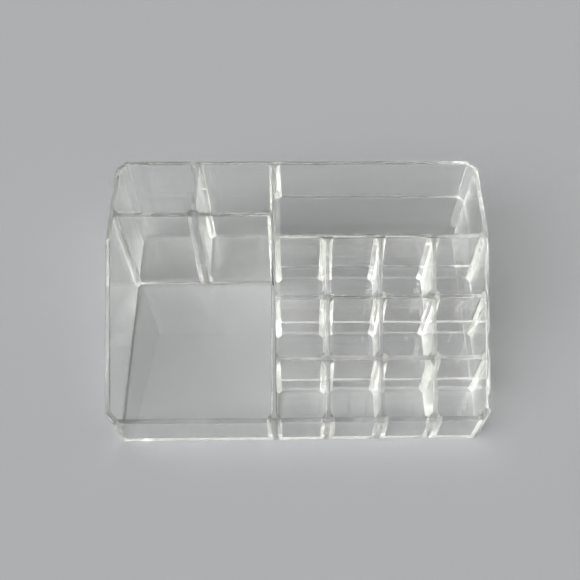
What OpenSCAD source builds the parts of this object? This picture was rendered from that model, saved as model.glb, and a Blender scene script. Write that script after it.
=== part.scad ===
// Clear plastic vanity organizer with sixteen open compartments.
// Right half: a shallow tray behind three stepped rows of square lipstick slots.
// Left half: two small bins behind one large compartment.
// Every wall and floor is a flat panel, bonded face to face to its neighbours.
// Millimetres. The origin is at the middle of the underside, +Y is the back.

/* [Outer shell] */
// Overall width, left to right
body_w = 236; // [212:1:260]
// Overall depth, front to back
body_d = 160; // [150:1:185]
// Height of the back and of the level part of the sides
back_h = 85; // [78:1:100]
// Height of the front
front_h = 32; // [26:1:40]
// Thickness of every panel
sheet_t = 3; // [2:0.25:4]
// Leg of the 45 degree cut at each upright outer corner
corner_leg = 6; // [4:0.5:9]

/* [Lipstick slots] */
// Clear width and depth of one square slot
slot_clear = 30; // [25:0.5:32]
// Rise from the floor of one row to the floor of the row behind it
row_rise = 16.5; // [12:0.5:18]
// Leg of the 45 degree flare where a divider meets a wall
flare_leg = 2.5; // [1:0.25:3.5]

/* [Back compartments] */
// Depth of the right tray, from the top of the back down to its floor
tray_drop = 34; // [24:1:36]
// Clear depth of the two small left bins, front to back
bin_clear = 38; // [30:1:50]

/* [Hidden] */

// Slots in one row, and rows from the front panel to the tray
slot_columns = 4;
slot_rows = 3;

// How far the solid that trims the rims runs past the body
overrun = 1;

// Planes of the shell, outside and inside
right_y_axis = body_w / 2;
front_y = -body_d / 2;
back_y = body_d / 2;
right_in = right_y_axis - sheet_t;
front_in = front_y + sheet_t;
back_in = back_y - sheet_t;

// Mitre of the cut corners, and the leg that the cut leaves inside
mitre = sheet_t * tan(45 / 2);
corner_leg_in = corner_leg + mitre - sheet_t;

// Grid of the slots
pitch = slot_clear + sheet_t;
divider_x = right_in + sheet_t / 2 - slot_columns * pitch;
divider_left = divider_x - sheet_t / 2;
divider_right = divider_x + sheet_t / 2;

// Left bins
cross_front = back_in - bin_clear - sheet_t;
cross_back = cross_front + sheet_t;
partition_x = (divider_left - right_in) / 2;

// Heights of the floors
base_top = sheet_t;
tray_z = back_h - tray_drop;

// Front face of the wall behind a row, counted from 1 at the front
function row_wall_y(row) = front_y + row * pitch;

// Top of the floor of a row, counted from 0 at the front
function row_floor_z(row) = base_top + row * row_rise;

// Height of the sloping rim at a depth y
slope_back = row_wall_y(slot_rows);
function rim_z(y) = front_h + (back_h - front_h) * (y - front_in) / (slope_back - front_in);

// Outline of a wall from a to b along the first axis. Flares lists which of its four
// corners are flared: start and end on the negative side, end and start on the positive side.
function flared(a, b, flares) =
    let (half = sheet_t / 2, leg = flare_leg)
    concat(
        flares[0] ? [[a, -half - leg], [a + leg, -half]] : [[a, -half]],
        flares[1] ? [[b - leg, -half], [b, -half - leg]] : [[b, -half]],
        flares[2] ? [[b, half + leg], [b - leg, half]] : [[b, half]],
        flares[3] ? [[a + leg, half], [a, half + leg]] : [[a, half]]
    );

all_flares = [true, true, true, true];

// A wall that runs front to back, centred on x, between two heights
module run_back(x, y_from, y_to, z_from, z_to, flares = all_flares) {
    translate([x, 0, z_from])
        rotate([0, 0, 90])
            linear_extrude(z_to - z_from) polygon(flared(y_from, y_to, flares));
}

// A wall that runs left to right, with its front face at y, between two heights
module run_across(y, x_from, x_to, z_from, z_to, flares = all_flares) {
    translate([0, y + sheet_t / 2, z_from])
        linear_extrude(z_to - z_from) polygon(flared(x_from, x_to, flares));
}

// Everything under the rims: low at the front, sloping up, level at the back
module under_rims() {
    translate([-right_y_axis - overrun, 0, 0])
        rotate([90, 0, 90])
            linear_extrude(body_w + 2 * overrun)
                polygon([
                    [front_y - overrun, -overrun],
                    [back_y + overrun, -overrun],
                    [back_y + overrun, back_h],
                    [slope_back, back_h],
                    [front_in, front_h],
                    [front_y - overrun, front_h]
                ]);
}

module clear_plastic() {
    color([0.86, 0.9, 0.9, 0.4]) children();
}

// Outer shell

// A shell panel between two cut corners, its outside on the line from -half to +half
module straight_panel(half, outside, height) {
    linear_extrude(height)
        polygon([
            [-half, outside],
            [half, outside],
            [half - mitre, outside - sheet_t],
            [-half + mitre, outside - sheet_t]
        ]);
}

module side_panel() {
    intersection() {
        rotate([0, 0, -90]) straight_panel(body_d / 2 - corner_leg, right_y_axis, back_h);
        under_rims();
    }
}

// The cut corner between the back and the right side
module corner_panel() {
    linear_extrude(back_h)
        polygon([
            [right_y_axis, back_y - corner_leg],
            [right_y_axis - corner_leg, back_y],
            [right_y_axis - corner_leg - mitre, back_in],
            [right_in, back_y - corner_leg - mitre]
        ]);
}

module front_corner_panel() {
    intersection() {
        mirror([0, 1, 0]) corner_panel();
        under_rims();
    }
}

module base_plate() {
    clear_plastic()
        linear_extrude(sheet_t)
            polygon([
                [-right_in + corner_leg_in, front_in],
                [right_in - corner_leg_in, front_in],
                [right_in, front_in + corner_leg_in],
                [right_in, row_wall_y(1) + sheet_t],
                [divider_right, row_wall_y(1) + sheet_t],
                [divider_right, back_in],
                [-right_in + corner_leg_in, back_in],
                [-right_in, back_in - corner_leg_in],
                [-right_in, front_in + corner_leg_in]
            ]);
}

module back_panel() {
    clear_plastic() straight_panel(right_y_axis - corner_leg, back_y, back_h);
}

module front_panel() {
    clear_plastic()
        rotate([0, 0, 180]) straight_panel(right_y_axis - corner_leg, -front_y, front_h);
}

module left_side_panel() {
    clear_plastic() mirror([1, 0, 0]) side_panel();
}

module right_side_panel() {
    clear_plastic() side_panel();
}

module rear_left_corner_panel() {
    clear_plastic() mirror([1, 0, 0]) corner_panel();
}

module rear_right_corner_panel() {
    clear_plastic() corner_panel();
}

module front_left_corner_panel() {
    clear_plastic() mirror([1, 0, 0]) front_corner_panel();
}

module front_right_corner_panel() {
    clear_plastic() front_corner_panel();
}

// Inner walls

// The right side has no flare at the back below the tray floor
module centre_divider() {
    clear_plastic()
        intersection() {
            union() {
                run_back(divider_x, front_in, back_in, base_top, tray_z, [true, false, true, true]);
                run_back(divider_x, front_in, back_in, tray_z, back_h);
            }
            under_rims();
        }
}

module left_cross_divider() {
    clear_plastic() run_across(cross_front, -right_in, divider_left, base_top, back_h);
}

module small_bin_partition() {
    clear_plastic() run_back(partition_x, cross_back, back_in, base_top, back_h);
}

// The wall behind a row stands on that row's floor. Behind it lies a higher floor,
// and its back flares start on top of that floor.
module row_wall(row, back_floor_z, top_z) {
    y = row_wall_y(row);
    run_across(y, divider_right, right_in, row_floor_z(row - 1), back_floor_z,
        [true, true, false, false]);
    run_across(y, divider_right, right_in, back_floor_z, top_z);
}

module lipstick_back_wall() {
    clear_plastic() row_wall(slot_rows, tray_z, back_h);
}

module lipstick_upper_row_wall() {
    clear_plastic() row_wall(2, row_floor_z(2), rim_z(row_wall_y(2) + sheet_t / 2));
}

module lipstick_lower_row_wall() {
    clear_plastic() row_wall(1, row_floor_z(1), rim_z(row_wall_y(1) + sheet_t / 2));
}

// Raised floors

module back_tray_floor() {
    clear_plastic()
        translate([0, 0, tray_z - sheet_t])
            linear_extrude(sheet_t)
                polygon([
                    [divider_right, slope_back + sheet_t],
                    [right_in, slope_back + sheet_t],
                    [right_in, back_in - corner_leg_in],
                    [right_in - corner_leg_in, back_in],
                    [divider_right, back_in]
                ]);
}

// A step floor reaches from the back of one row wall to the back of the next,
// which stands on it
module step_floor(row) {
    translate([divider_right, row_wall_y(row) + sheet_t, row_floor_z(row) - sheet_t])
        cube([right_in - divider_right, pitch, sheet_t]);
}

module upper_step_floor() {
    clear_plastic() step_floor(2);
}

module lower_step_floor() {
    clear_plastic() step_floor(1);
}

// Column dividers, one between two slots of a row. Rows count from 0 at the front,
// columns from 1 at the centre divider.
module column_divider(row, column) {
    clear_plastic()
        intersection() {
            run_back(divider_x + column * pitch,
                row_wall_y(row) + sheet_t, row_wall_y(row + 1), row_floor_z(row), back_h);
            under_rims();
        }
}

module back_row_divider_left() {
    column_divider(2, 1);
}

module back_row_divider_middle() {
    column_divider(2, 2);
}

module back_row_divider_right() {
    column_divider(2, 3);
}

module middle_row_divider_left() {
    column_divider(1, 1);
}

module middle_row_divider_middle() {
    column_divider(1, 2);
}

module middle_row_divider_right() {
    column_divider(1, 3);
}

module front_row_divider_left() {
    column_divider(0, 1);
}

module front_row_divider_middle() {
    column_divider(0, 2);
}

module front_row_divider_right() {
    column_divider(0, 3);
}

base_plate();
back_panel();
front_panel();
left_side_panel();
right_side_panel();
rear_left_corner_panel();
rear_right_corner_panel();
front_left_corner_panel();
front_right_corner_panel();
centre_divider();
left_cross_divider();
small_bin_partition();
lipstick_back_wall();
lipstick_upper_row_wall();
lipstick_lower_row_wall();
back_tray_floor();
upper_step_floor();
lower_step_floor();
back_row_divider_left();
back_row_divider_middle();
back_row_divider_right();
middle_row_divider_left();
middle_row_divider_middle();
middle_row_divider_right();
front_row_divider_left();
front_row_divider_middle();
front_row_divider_right();
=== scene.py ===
import logging
import math
from collections.abc import Sequence
from dataclasses import dataclass, field
from enum import Enum

import bmesh
import bpy
from mathutils import Matrix, Vector
from mathutils.bvhtree import BVHTree


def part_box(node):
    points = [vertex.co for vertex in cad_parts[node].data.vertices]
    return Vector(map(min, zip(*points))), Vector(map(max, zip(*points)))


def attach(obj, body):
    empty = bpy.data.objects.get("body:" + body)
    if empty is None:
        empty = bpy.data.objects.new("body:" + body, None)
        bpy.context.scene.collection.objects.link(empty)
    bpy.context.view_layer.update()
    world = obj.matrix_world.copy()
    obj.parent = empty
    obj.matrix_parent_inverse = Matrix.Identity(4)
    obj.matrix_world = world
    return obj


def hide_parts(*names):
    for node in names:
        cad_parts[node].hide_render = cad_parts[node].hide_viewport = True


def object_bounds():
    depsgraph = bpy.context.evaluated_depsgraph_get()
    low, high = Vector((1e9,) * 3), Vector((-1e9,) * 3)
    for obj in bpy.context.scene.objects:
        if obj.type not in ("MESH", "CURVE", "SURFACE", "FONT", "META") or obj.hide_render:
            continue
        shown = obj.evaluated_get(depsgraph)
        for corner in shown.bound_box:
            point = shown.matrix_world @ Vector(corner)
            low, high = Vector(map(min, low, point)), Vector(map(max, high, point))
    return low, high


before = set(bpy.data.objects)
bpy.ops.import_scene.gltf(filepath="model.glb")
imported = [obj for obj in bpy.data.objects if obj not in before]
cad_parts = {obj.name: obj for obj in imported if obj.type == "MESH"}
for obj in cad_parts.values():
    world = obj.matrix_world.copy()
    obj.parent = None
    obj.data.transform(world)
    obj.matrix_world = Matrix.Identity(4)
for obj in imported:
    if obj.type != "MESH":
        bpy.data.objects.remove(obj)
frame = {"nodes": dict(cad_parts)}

CAD_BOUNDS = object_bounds()

LOG = logging.getLogger("vanity_organizer")

MM = 0.001
BODY = "root"
SUFFIX = "_moulded"

# A ray crosses many clear faces on its way through the rows of slots
BOUNCES = 200

# Corners and planes that are nearer than this, in metres, are the same
SAME_PLACE = 1e-6
# Faces that turn less than this, in radians, are one flat face
FLAT_TURN = 0.002
# Two directions are the same above these cosines, for an outline and for a plane
SAME_WAY = 0.999
SAME_PLANE = 0.9999
# A face is upright where its normal rises or falls less than this
UPRIGHT = 0.1
# A face looks up where its normal rises more than this
LOOKS_UP = 0.5
# Two directions cross where the sine between them is more than this
CROSSES = 0.1
# A direction that lies in no face of the panels
ASKEW = Vector((0.0137, 0.0211, 1.0)).normalized()


# Small helpers


def srgb(code: str) -> tuple[float, float, float, float]:
    """Turns an sRGB hex colour into linear light.

    Args:
        code: The colour as "#RRGGBB".

    Returns:
        Red, green, blue and an alpha of 1, in linear light.
    """
    parts = [int(code[i : i + 2], 16) / 255 for i in (1, 3, 5)]
    linear = [c / 12.92 if c <= 0.04045 else ((c + 0.055) / 1.055) ** 2.4 for c in parts]
    return (*linear, 1.0)


def add_node(tree: bpy.types.NodeTree, kind: str, settings: dict | None = None,
             links: dict | None = None) -> bpy.types.Node:
    """Adds one node, with its settings and its incoming links.

    Args:
        tree: The node tree that gets the node.
        kind: The node's Blender type.
        settings: Socket names or numbers, or attribute names, and their values.
        links: Socket names or numbers, and the outputs that feed them.

    Returns:
        The new node.
    """
    node = tree.nodes.new(kind)
    for name, value in (settings or {}).items():
        if isinstance(name, str) and hasattr(node, name):
            setattr(node, name, value)
        else:
            node.inputs[name].default_value = value
    for name, source in (links or {}).items():
        tree.links.new(source, node.inputs[name])
    return node


# Finishes


class Polish(Enum):
    """How the surface of a moulded panel looks after use."""

    GLOSSY = "glossy"
    HANDLED = "handled"
    SCUFFED = "scuffed"


@dataclass(frozen=True)
class Pattern:
    """An uneven pattern, by the real size of its patches."""

    size_mm: float
    detail: float
    roughness: float
    distortion: float = 0.0

    def build(self, tree: bpy.types.NodeTree, place: bpy.types.NodeSocket) -> bpy.types.NodeSocket:
        """Adds the pattern to a material.

        Args:
            tree: The material's node tree.
            place: The place on the object.

        Returns:
            The pattern's value there.
        """
        noise = add_node(
            tree, "ShaderNodeTexNoise",
            {
                "Scale": 1 / (self.size_mm * MM), "Detail": self.detail,
                "Roughness": self.roughness, "Distortion": self.distortion,
            },
            {"Vector": place},
        )
        return noise.outputs["Fac"]


@dataclass(frozen=True)
class MouldedPolystyrene:
    """Clear general purpose polystyrene, moulded against polished steel."""

    # Polished steel leaves a mirror face, so the eye looks through the panels and finds them
    # by their bright edges. Cooling leaves slow waves of a few microns, which bend what lies
    # behind. Light that runs along inside a panel loses a little on the way, so the rims
    # look darker than the faces.
    name: str
    polish: Polish
    tint: str = "#FEFEFD"
    ior: float = 1.59
    deep_colour: str = "#F1F2F1"
    deep_mm: float = 100.0
    waves: Pattern = Pattern(size_mm=26.0, detail=1.0, roughness=0.4)
    wave_height_mm: float = 0.008
    # Real scratches are hundredths of a millimetre wide. These patches are as coarse as they
    # need to be to show.
    scratches: Pattern = Pattern(size_mm=1.6, detail=3.0, roughness=0.6, distortion=1.2)
    # The pattern's values between which a face turns from polished to scratched
    scratch_edge: tuple[float, float] = (0.52, 0.72)

    def roughness_range(self) -> tuple[float, float]:
        """Returns the least and the greatest roughness of the faces."""
        return {
            Polish.GLOSSY: (0.0, 0.005),
            Polish.HANDLED: (0.0, 0.02),
            Polish.SCUFFED: (0.01, 0.12),
        }[self.polish]

    def build(self) -> bpy.types.Material:
        """Builds the material.

        Returns:
            The Blender material.
        """
        material = bpy.data.materials.new(self.name)
        material.use_nodes = True
        tree = material.node_tree
        shader = tree.nodes["Principled BSDF"]
        shader.inputs["Base Color"].default_value = srgb(self.tint)
        shader.inputs["Transmission Weight"].default_value = 1.0
        shader.inputs["IOR"].default_value = self.ior
        place = add_node(tree, "ShaderNodeTexCoord").outputs["Object"]
        low, high = self.roughness_range()
        start, stop = self.scratch_edge
        rough = add_node(
            tree, "ShaderNodeMapRange",
            {"From Min": start, "From Max": stop, "To Min": low, "To Max": high},
            {"Value": self.scratches.build(tree, place)},
        )
        bump = add_node(
            tree, "ShaderNodeBump",
            {"Strength": 1.0, "Distance": self.wave_height_mm * MM},
            {"Height": self.waves.build(tree, place)},
        )
        tree.links.new(rough.outputs["Result"], shader.inputs["Roughness"])
        tree.links.new(bump.outputs["Normal"], shader.inputs["Normal"])
        self.absorb(tree)
        return material

    def absorb(self, tree: bpy.types.NodeTree) -> None:
        """Lets the plastic turn white light to the deep colour over the deep length."""
        taken_per_m = [-math.log(c) / (self.deep_mm * MM) for c in srgb(self.deep_colour)[:3]]
        most = max(taken_per_m)
        inside = add_node(
            tree, "ShaderNodeVolumeAbsorption",
            {"Color": (*(1 - taken / most for taken in taken_per_m), 1.0), "Density": most},
        )
        tree.links.new(inside.outputs["Volume"], tree.nodes["Material Output"].inputs["Volume"])


@dataclass(frozen=True)
class MattePaper:
    """Seamless studio paper, uncoated."""

    # Uncoated paper spreads light evenly, so the eye sees a soft shadow and no gloss.
    name: str = "uncoated studio paper"
    colour: str = "#8B8C8D"
    roughness: float = 0.95
    specular: float = 0.2

    def build(self) -> bpy.types.Material:
        """Builds the material.

        Returns:
            The Blender material.
        """
        material = bpy.data.materials.new(self.name)
        material.use_nodes = True
        shader = material.node_tree.nodes["Principled BSDF"]
        shader.inputs["Base Color"].default_value = srgb(self.colour)
        shader.inputs["Roughness"].default_value = self.roughness
        shader.inputs["Specular IOR Level"].default_value = self.specular
        return material


# Moulded panels


class Solids:
    """The solids of all the panels, for telling which faces and edges are free."""

    def __init__(self, nodes: dict) -> None:
        """Keeps one search tree for each solid.

        Args:
            nodes: Node names and their CAD objects.
        """
        self.trees = {}
        for name, part in nodes.items():
            shape = welded(part)
            self.trees[name] = BVHTree.FromBMesh(shape)
            shape.free()

    def filled(self, point: Vector, besides: str) -> bool:
        """Tells whether a point lies in any solid besides one.

        Args:
            point: The point, in metres.
            besides: The node that doesn't count.

        Returns:
            True where another panel is.
        """
        for name, tree in self.trees.items():
            if name == besides:
                continue
            crossings = 0
            start = point
            while True:
                hit = tree.ray_cast(start, ASKEW)[0]
                if hit is None:
                    break
                crossings += 1
                start = hit + ASKEW * SAME_PLACE
            if crossings % 2:
                return True
        return False


def welded(part: bpy.types.Object) -> bmesh.types.BMesh:
    """Copies a CAD node's mesh, with its split corners joined and its flat faces whole.

    Args:
        part: The CAD node's object.

    Returns:
        The copy.
    """
    shape = bmesh.new()
    shape.from_mesh(part.data)
    bmesh.ops.remove_doubles(shape, verts=shape.verts, dist=SAME_PLACE)
    bmesh.ops.dissolve_limit(shape, angle_limit=FLAT_TURN, verts=shape.verts, edges=shape.edges)
    shape.normal_update()
    return shape


@dataclass(frozen=True)
class Draft:
    """The lean that lets a wall leave its mould: thinner at the rim, thicker at the foot."""

    degrees: float
    pivot: float | None = None

    def out(self, height: float) -> float:
        """Returns how far a leaning face stands out at a height."""
        return math.tan(math.radians(self.degrees)) * (self.pivot - height)

    def about_rim(self, shape: bmesh.types.BMesh) -> "Draft":
        """Returns the same draft, about the middle height of a wall's rim if it has no pivot."""
        if self.pivot is not None:
            return self
        rim = [v.co.z for face in shape.faces if face.normal.z > LOOKS_UP for v in face.verts]
        return Draft(self.degrees, (min(rim) + max(rim)) / 2)


@dataclass(frozen=True)
class CornerFillet:
    """The hollow fillets that the mould leaves on both sides of a cut corner of the shell."""

    radius_mm: float = 1.2
    rim_gap_mm: float = 0.9
    steps: int = 5
    seat_mm: float = 0.02

    def build(self, shape: bmesh.types.BMesh, panel: bpy.types.Object, floor_top: float,
              draft: Draft) -> None:
        """Adds the two upright fillets to a corner panel.

        Args:
            shape: The corner panel's mesh.
            panel: Its CAD object, for its inner corners and the height of its rim.
            floor_top: The height that the fillets start at.
            draft: How the walls beside them lean.
        """
        rims = {}
        for vert in panel.data.vertices:
            place = tuple(vert.co.xy)
            rims[place] = max(vert.co.z, rims.get(place, 0.0))
        inner = sorted(rims, key=lambda place: abs(place[0]) + abs(place[1]))[:2]
        back, side = (Vector(place) for place in sorted(inner, key=lambda place: abs(place[0])))
        for corner, other, wall_end in (
            (side, back, Vector((side.x, 0.0))), (back, side, Vector((0.0, back.y))),
        ):
            heights = (floor_top - self.seat_mm * MM, rims[tuple(corner)] - self.rim_gap_mm * MM)
            ways = ((other - corner).normalized(), (wall_end - corner).normalized())
            self.post(shape, corner, ways, heights, draft)

    def post(self, shape: bmesh.types.BMesh, corner: Vector, ways: tuple[Vector, Vector],
             heights: tuple[float, float], draft: Draft) -> None:
        """Adds an upright fillet where two walls meet.

        Args:
            shape: The panel that carries it.
            corner: The corner, in plan.
            ways: The directions of the two walls from there.
            heights: Where the fillet starts and ends.
            draft: How the walls lean.
        """
        radius, seat = self.radius_mm * MM, self.seat_mm * MM
        half_angle = ways[0].angle(ways[1]) / 2
        inward = (ways[0] + ways[1]).normalized()
        centre = corner + inward * radius / math.sin(half_angle)
        feet = [corner + way * radius / math.tan(half_angle) for way in ways]
        start, stop = feet[0] - centre, feet[1] - centre
        arc = [start.lerp(stop, i / self.steps).normalized() * radius for i in range(self.steps + 1)]
        ends = [foot + way.normalized() * seat for foot, way in zip(feet, (start, stop))]
        section = [*(centre + way for way in arc), ends[1], corner - inward * seat, ends[0]]
        low, high = (
            [shape.verts.new((*(p + inward * draft.out(z) / math.sin(half_angle)), z)) for p in section]
            for z in heights
        )
        shape.faces.new(low)
        shape.faces.new(high)
        for k in range(len(section)):
            m = (k + 1) % len(section)
            face = shape.faces.new((low[k], low[m], high[m], high[k]))
            face.smooth = k < self.steps


def crossing(sides: Sequence[tuple[Vector, float]]) -> Vector:
    """Finds how an upright edge moves when the faces beside it do.

    Args:
        sides: The faces' outward directions in plan, and how far each one moves out.

    Returns:
        The edge's move, in plan.
    """
    if not sides:
        return Vector((0.0, 0.0))
    (one, out_1), *rest = sides
    for two, out_2 in rest:
        turn = one.cross(two)
        if abs(turn) > CROSSES:
            return Vector((out_1 * two.y - out_2 * one.y, out_2 * one.x - out_1 * two.x)) / turn
    return one * out_1


@dataclass
class PanelMaker:
    """Makes the panel that shows from a CAD node: seated in its neighbours, its free edges rounded."""

    solids: Solids
    fillet: CornerFillet = CornerFillet()
    # A rounded edge, whose profile is an arc at a half
    edge_radius_mm: float = 0.6
    edge_steps: int = 4
    edge_profile: float = 0.5
    # How far a joined face runs into its neighbour, and how far the end of a wall does
    seat_mm: float = 0.02
    tenon_mm: float = 0.38
    # How far off a face or an edge its surroundings are looked at
    probe_mm: float = 0.05
    # How far from a face's corners towards its middle they are looked at, and the share of
    # these places that a neighbour fills where the face is joined
    corner_share: float = 0.12
    joined_share: float = 0.7
    # The places along an edge that are looked at, and the turn that makes it sharp
    edge_shares: tuple[float, ...] = (0.1, 0.3, 0.5, 0.7, 0.9)
    sharp_deg: float = 30.0
    # A little more than a panel is thick
    beyond_panel_mm: float = 4.0

    def joined_face(self, face: bmesh.types.BMFace, name: str) -> bool:
        """Tells whether a face lies against other panels all over."""
        out = face.normal * self.probe_mm * MM
        middle = face.calc_center_median()
        places = [*(v.co.lerp(middle, self.corner_share) for v in face.verts), middle]
        hits = sum(self.solids.filled(p + out, name) for p in places)
        return hits > self.joined_share * len(places)

    def free_edge(self, edge: bmesh.types.BMEdge, name: str) -> bool:
        """Tells whether an edge is convex and open to the air along most of its length."""
        one, two = edge.link_faces
        if edge.calc_face_angle_signed() < math.radians(self.sharp_deg):
            return False
        n1, n2 = one.normal * self.probe_mm * MM, two.normal * self.probe_mm * MM
        a, b = (v.co for v in edge.verts)
        free = 0
        for share in self.edge_shares:
            p = a.lerp(b, share)
            free += not any(
                self.solids.filled(q, name) for q in (p + n1 - n2, p + n2 - n1, p + n1 + n2)
            )
        return free > len(self.edge_shares) / 2

    def seat(self, shape: bmesh.types.BMesh, joined: list, ends_run_in: bool) -> None:
        """Runs the joined faces a little way into their neighbours, as a fused joint does."""
        for face in joined:
            normal = face.normal.copy()
            upright = abs(normal.z) < UPRIGHT
            square = max(abs(normal.x), abs(normal.y)) > SAME_WAY
            if ends_run_in and upright and square:
                made = bmesh.ops.extrude_face_region(shape, geom=[face])["geom"]
                if face.is_valid:
                    shape.faces.remove(face)
                moved = [v for v in made if isinstance(v, bmesh.types.BMVert)]
                depth = self.tenon_mm
            else:
                moved = list(face.verts)
                depth = self.seat_mm
            for v in moved:
                v.co += normal * depth * MM

    def lean(self, shape: bmesh.types.BMesh, joined: list, draft: Draft) -> None:
        """Leans a wall's faces into the compartments towards their floors.

        Args:
            shape: The wall.
            joined: Its faces that lie against other panels, which stay in their planes.
            draft: How far they lean.
        """
        low, high = (c.xy for c in CAD_BOUNDS)
        moves = []
        for vert in shape.verts:
            sides = []
            for face in vert.link_faces:
                way = face.normal.xy
                if abs(face.normal.z) > UPRIGHT or any(way.dot(w) > SAME_WAY for w, _ in sides):
                    continue
                beside = face.calc_center_median().xy + way * self.beyond_panel_mm * MM
                outer = not (low.x < beside.x < high.x and low.y < beside.y < high.y)
                stays = outer or face in joined
                sides.append((way.normalized(), 0.0 if stays else draft.out(vert.co.z)))
            moves.append(crossing(sides))
        for vert, move in zip(shape.verts, moves):
            vert.co.xy += move
        shape.normal_update()

    def round_off(self, shape: bmesh.types.BMesh, edges: list) -> None:
        """Rounds the edges that the mould rounds."""
        rounded = bmesh.ops.bevel(
            shape, geom=edges, offset=self.edge_radius_mm * MM, segments=self.edge_steps,
            profile=self.edge_profile, affect="EDGES", clamp_overlap=True,
        )
        for face in rounded["faces"]:
            face.smooth = True
        shape.normal_update()

    def make(self, name: str, ends_run_in: bool = True, draft: Draft | None = None,
             fillets_from: float | None = None) -> bpy.types.Object:
        """Makes one panel.

        Args:
            name: The CAD node that the panel stands for.
            ends_run_in: True for a wall whose ends run into other walls.
            draft: How its faces lean, or None for a floor.
            fillets_from: The height that the fillets of a corner panel start at.

        Returns:
            The new object, linked to the scene.
        """
        shape = welded(frame["nodes"][name])
        joined = [f for f in shape.faces if self.joined_face(f, name)]
        planes = [(f.normal.copy(), f.normal.dot(f.verts[0].co)) for f in joined]
        held = {e for f in joined for e in f.edges}
        free = [e for e in shape.edges if e not in held and self.free_edge(e, name)]
        if draft:
            draft = draft.about_rim(shape)
            self.lean(shape, joined, draft)
        self.round_off(shape, free)
        self.seat(shape, [f for f in shape.faces if in_planes(f, planes)], ends_run_in)
        if fillets_from is not None:
            self.fillet.build(shape, frame["nodes"][name], fillets_from, draft)
        # Nothing reaches past the box of the CAD
        for vert in shape.verts:
            vert.co = [min(max(c, low), high) for c, low, high in zip(vert.co, *CAD_BOUNDS)]
        bmesh.ops.recalc_face_normals(shape, faces=shape.faces)
        mesh = bpy.data.meshes.new(name + SUFFIX)
        shape.to_mesh(mesh)
        shape.free()
        piece = bpy.data.objects.new(name + SUFFIX, mesh)
        bpy.context.scene.collection.objects.link(piece)
        return piece


def in_planes(face: bmesh.types.BMFace, planes: Sequence[tuple[Vector, float]]) -> bool:
    """Tells whether a face lies in one of some planes.

    Args:
        face: The face.
        planes: The planes' normals, and their distances from the origin.

    Returns:
        True where it does.
    """
    return any(
        face.normal.dot(normal) > SAME_PLANE
        and abs(normal.dot(face.verts[0].co) - distance) < SAME_PLACE
        for normal, distance in planes
    )


def dress(piece: bpy.types.Object, material: bpy.types.Material, node: str) -> None:
    """Gives a panel its finish, and lets it stand for its CAD node.

    Args:
        piece: The panel.
        material: Its finish.
        node: The CAD node that it stands for.
    """
    piece.data.materials.append(material)
    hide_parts(node)
    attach(piece, BODY)
    LOG.info("%s: %d faces", piece.name, len(piece.data.polygons))


@dataclass
class OuterShell:
    """The walls round the organizer, with their cut corners."""

    maker: PanelMaker
    sides: tuple[str, ...] = ("back_panel", "front_panel", "left_side_panel", "right_side_panel")
    corners_and_floors: tuple[tuple[str, str], ...] = (
        ("rear_left_corner_panel", "base_plate"),
        ("rear_right_corner_panel", "back_tray_floor"),
        ("front_left_corner_panel", "base_plate"),
        ("front_right_corner_panel", "base_plate"),
    )
    draft_deg: float = 0.45

    def build(self, material: bpy.types.Material) -> None:
        """Builds and dresses the walls."""
        rims = [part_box(name)[1][2] for name in self.sides]
        draft = Draft(self.draft_deg, (min(rims) + max(rims)) / 2)
        for name in self.sides:
            dress(self.maker.make(name, draft=draft), material, name)
        for name, floor in self.corners_and_floors:
            panel = self.maker.make(name, draft=draft, fillets_from=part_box(floor)[1][2])
            dress(panel, material, name)


@dataclass
class InnerWalls:
    """The upright walls inside the shell."""

    maker: PanelMaker
    walls: tuple[str, ...] = (
        "centre_divider", "left_cross_divider", "small_bin_partition",
        "lipstick_back_wall", "lipstick_upper_row_wall", "lipstick_lower_row_wall",
    )
    rows: tuple[str, ...] = ("front", "middle", "back")
    places: tuple[str, ...] = ("left", "middle", "right")
    draft_deg: float = 0.5

    def build(self, material: bpy.types.Material) -> None:
        """Builds and dresses the walls."""
        names = list(self.walls)
        names += [f"{row}_row_divider_{place}" for row in self.rows for place in self.places]
        for name in names:
            dress(self.maker.make(name, draft=Draft(self.draft_deg)), material, name)


@dataclass
class Floors:
    """The base and the raised floors."""

    maker: PanelMaker
    floors: tuple[str, ...] = ("base_plate", "lower_step_floor", "upper_step_floor", "back_tray_floor")

    def build(self, material: bpy.types.Material) -> None:
        """Builds and dresses the floors."""
        for name in self.floors:
            dress(self.maker.make(name, ends_run_in=False), material, name)


# Studio


@dataclass(frozen=True)
class Glow:
    """A soft bright patch of the tent, such as a window behind cloth."""

    middle: tuple[float, float, float]
    # The cosines from its middle at which the patch starts and is whole
    edge: tuple[float, float]
    radiance: float

    def build(self, tree: bpy.types.NodeTree, way: bpy.types.NodeSocket) -> bpy.types.NodeSocket:
        """Adds the patch to the tent.

        Args:
            tree: The world's node tree.
            way: The direction that is looked in.

        Returns:
            The patch's radiance in that direction.
        """
        cosine = add_node(
            tree, "ShaderNodeVectorMath",
            {"operation": "DOT_PRODUCT", 1: Vector(self.middle).normalized()},
            {0: way},
        )
        start, whole = self.edge
        patch = add_node(
            tree, "ShaderNodeMapRange",
            {
                "interpolation_type": "SMOOTHSTEP", "From Min": start,
                "From Max": whole, "To Max": self.radiance,
            },
            {"Value": cosine.outputs["Value"]},
        )
        return patch.outputs["Result"]


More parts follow.
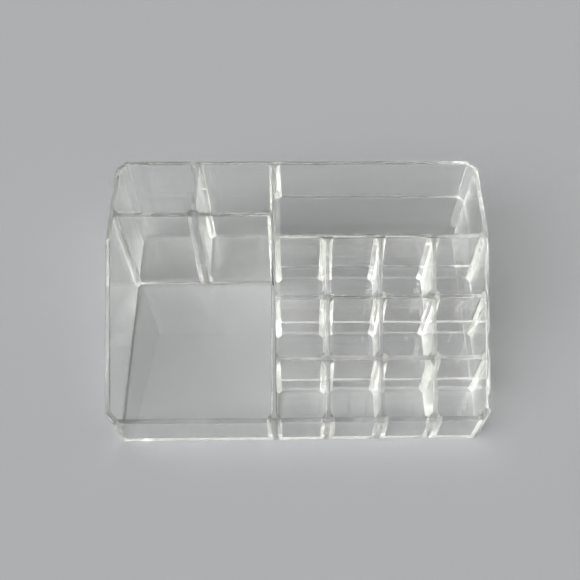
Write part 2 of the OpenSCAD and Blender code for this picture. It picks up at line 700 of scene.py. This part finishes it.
@dataclass
class Studio:
    """The pale paper, the soft light and the camera."""

    paper: MattePaper = field(default_factory=MattePaper)
    paper_radius_m: float = 6.0
    paper_corners: int = 96
    # The paper lies a little under the organizer, so that they share no face
    paper_gap_mm: float = 0.15
    # The camera, with its angles in radians
    frame_px: float = 580.0
    sensor_mm: float = 36.0
    focal_px: float = 762.68
    tilt: float = 1.0288
    turn: float = 0.0455
    roll: float = -0.0331
    shift_px: tuple[float, float] = (-27.45, -11.6)
    camera_mm: tuple[float, float, float] = (0.587, -244.2, 474.4)
    nearest_mm: float = 10.0
    window: Glow = Glow(middle=(-0.65, -0.42, 0.75), edge=(0.88, 0.97), radiance=10.2)
    above: Glow = Glow(middle=(-0.05, -0.22, 1.0), edge=(0.72, 0.92), radiance=1.2)
    tent_radiance: float = 0.2

    def camera(self) -> None:
        """Sets the camera where the photograph was taken from."""
        ct, st = math.cos(self.tilt), math.sin(self.tilt)
        cy, sy = math.cos(self.turn), math.sin(self.turn)
        ahead = Vector((sy * ct, cy * ct, -st))
        right = Vector((cy, -sy, 0.0))
        down = ahead.cross(right)
        cr, sr = math.cos(self.roll), math.sin(self.roll)
        right, down = cr * right + sr * down, cr * down - sr * right
        lens = bpy.data.cameras.new("camera")
        lens.sensor_width = self.sensor_mm
        lens.lens = self.focal_px / self.frame_px * self.sensor_mm
        lens.shift_x = self.shift_px[0] / self.frame_px
        lens.shift_y = self.shift_px[1] / self.frame_px
        lens.clip_start = self.nearest_mm * MM
        view = bpy.data.objects.new("camera", lens)
        bpy.context.scene.collection.objects.link(view)
        turned = Matrix((right, -down, -ahead)).transposed().to_4x4()
        view.matrix_world = Matrix.Translation(Vector(self.camera_mm) * MM) @ turned
        bpy.context.scene.camera = view

    def floor(self) -> None:
        """Lays the paper under the organizer."""
        shape = bmesh.new()
        bmesh.ops.create_circle(
            shape, cap_ends=True, radius=self.paper_radius_m, segments=self.paper_corners
        )
        mesh = bpy.data.meshes.new("studio_floor")
        shape.to_mesh(mesh)
        shape.free()
        paper = bpy.data.objects.new("studio_floor", mesh)
        bpy.context.scene.collection.objects.link(paper)
        paper.location.z = -self.paper_gap_mm * MM
        paper.data.materials.append(self.paper.build())

    def light(self) -> None:
        """Lights the organizer from a soft tent, with a window at the front left and a glow above."""
        scene = bpy.context.scene
        scene.world = bpy.data.worlds.new("soft tent")
        scene.world.use_nodes = True
        tree = scene.world.node_tree
        sky = tree.nodes["Background"]
        sky.inputs["Color"].default_value = srgb("#FFFFFF")
        way = add_node(tree, "ShaderNodeTexCoord").outputs["Generated"]
        window, above = (glow.build(tree, way) for glow in (self.window, self.above))
        both = add_node(tree, "ShaderNodeMath", {"operation": "ADD"}, {0: window, 1: above})
        total = add_node(
            tree, "ShaderNodeMath", {"operation": "ADD", 1: self.tent_radiance}, {0: both.outputs[0]}
        )
        tree.links.new(total.outputs[0], sky.inputs["Strength"])

    def exposure(self) -> None:
        """Lets light cross all the clear faces on its way, and keeps the colours as they are."""
        scene = bpy.context.scene
        scene.cycles.max_bounces = BOUNCES
        scene.cycles.glossy_bounces = BOUNCES
        scene.cycles.transmission_bounces = BOUNCES
        scene.cycles.sample_clamp_indirect = 0
        scene.cycles.blur_glossy = 0
        scene.view_settings.view_transform = "Standard"


def main() -> None:
    """Builds the studio and the organizer."""
    logging.basicConfig(level=logging.INFO, format="%(name)s: %(message)s")
    studio = Studio()
    studio.camera()
    studio.floor()
    studio.light()
    studio.exposure()
    maker = PanelMaker(Solids(frame["nodes"]))
    shell = MouldedPolystyrene("clear polystyrene, moulded shell", Polish.GLOSSY)
    dividers = MouldedPolystyrene("clear polystyrene, moulded dividers", Polish.HANDLED)
    floors = MouldedPolystyrene("clear polystyrene, scuffed floors", Polish.SCUFFED)
    OuterShell(maker).build(shell.build())
    InnerWalls(maker).build(dividers.build())
    Floors(maker).build(floors.build())


if __name__ == "__main__":
    main()
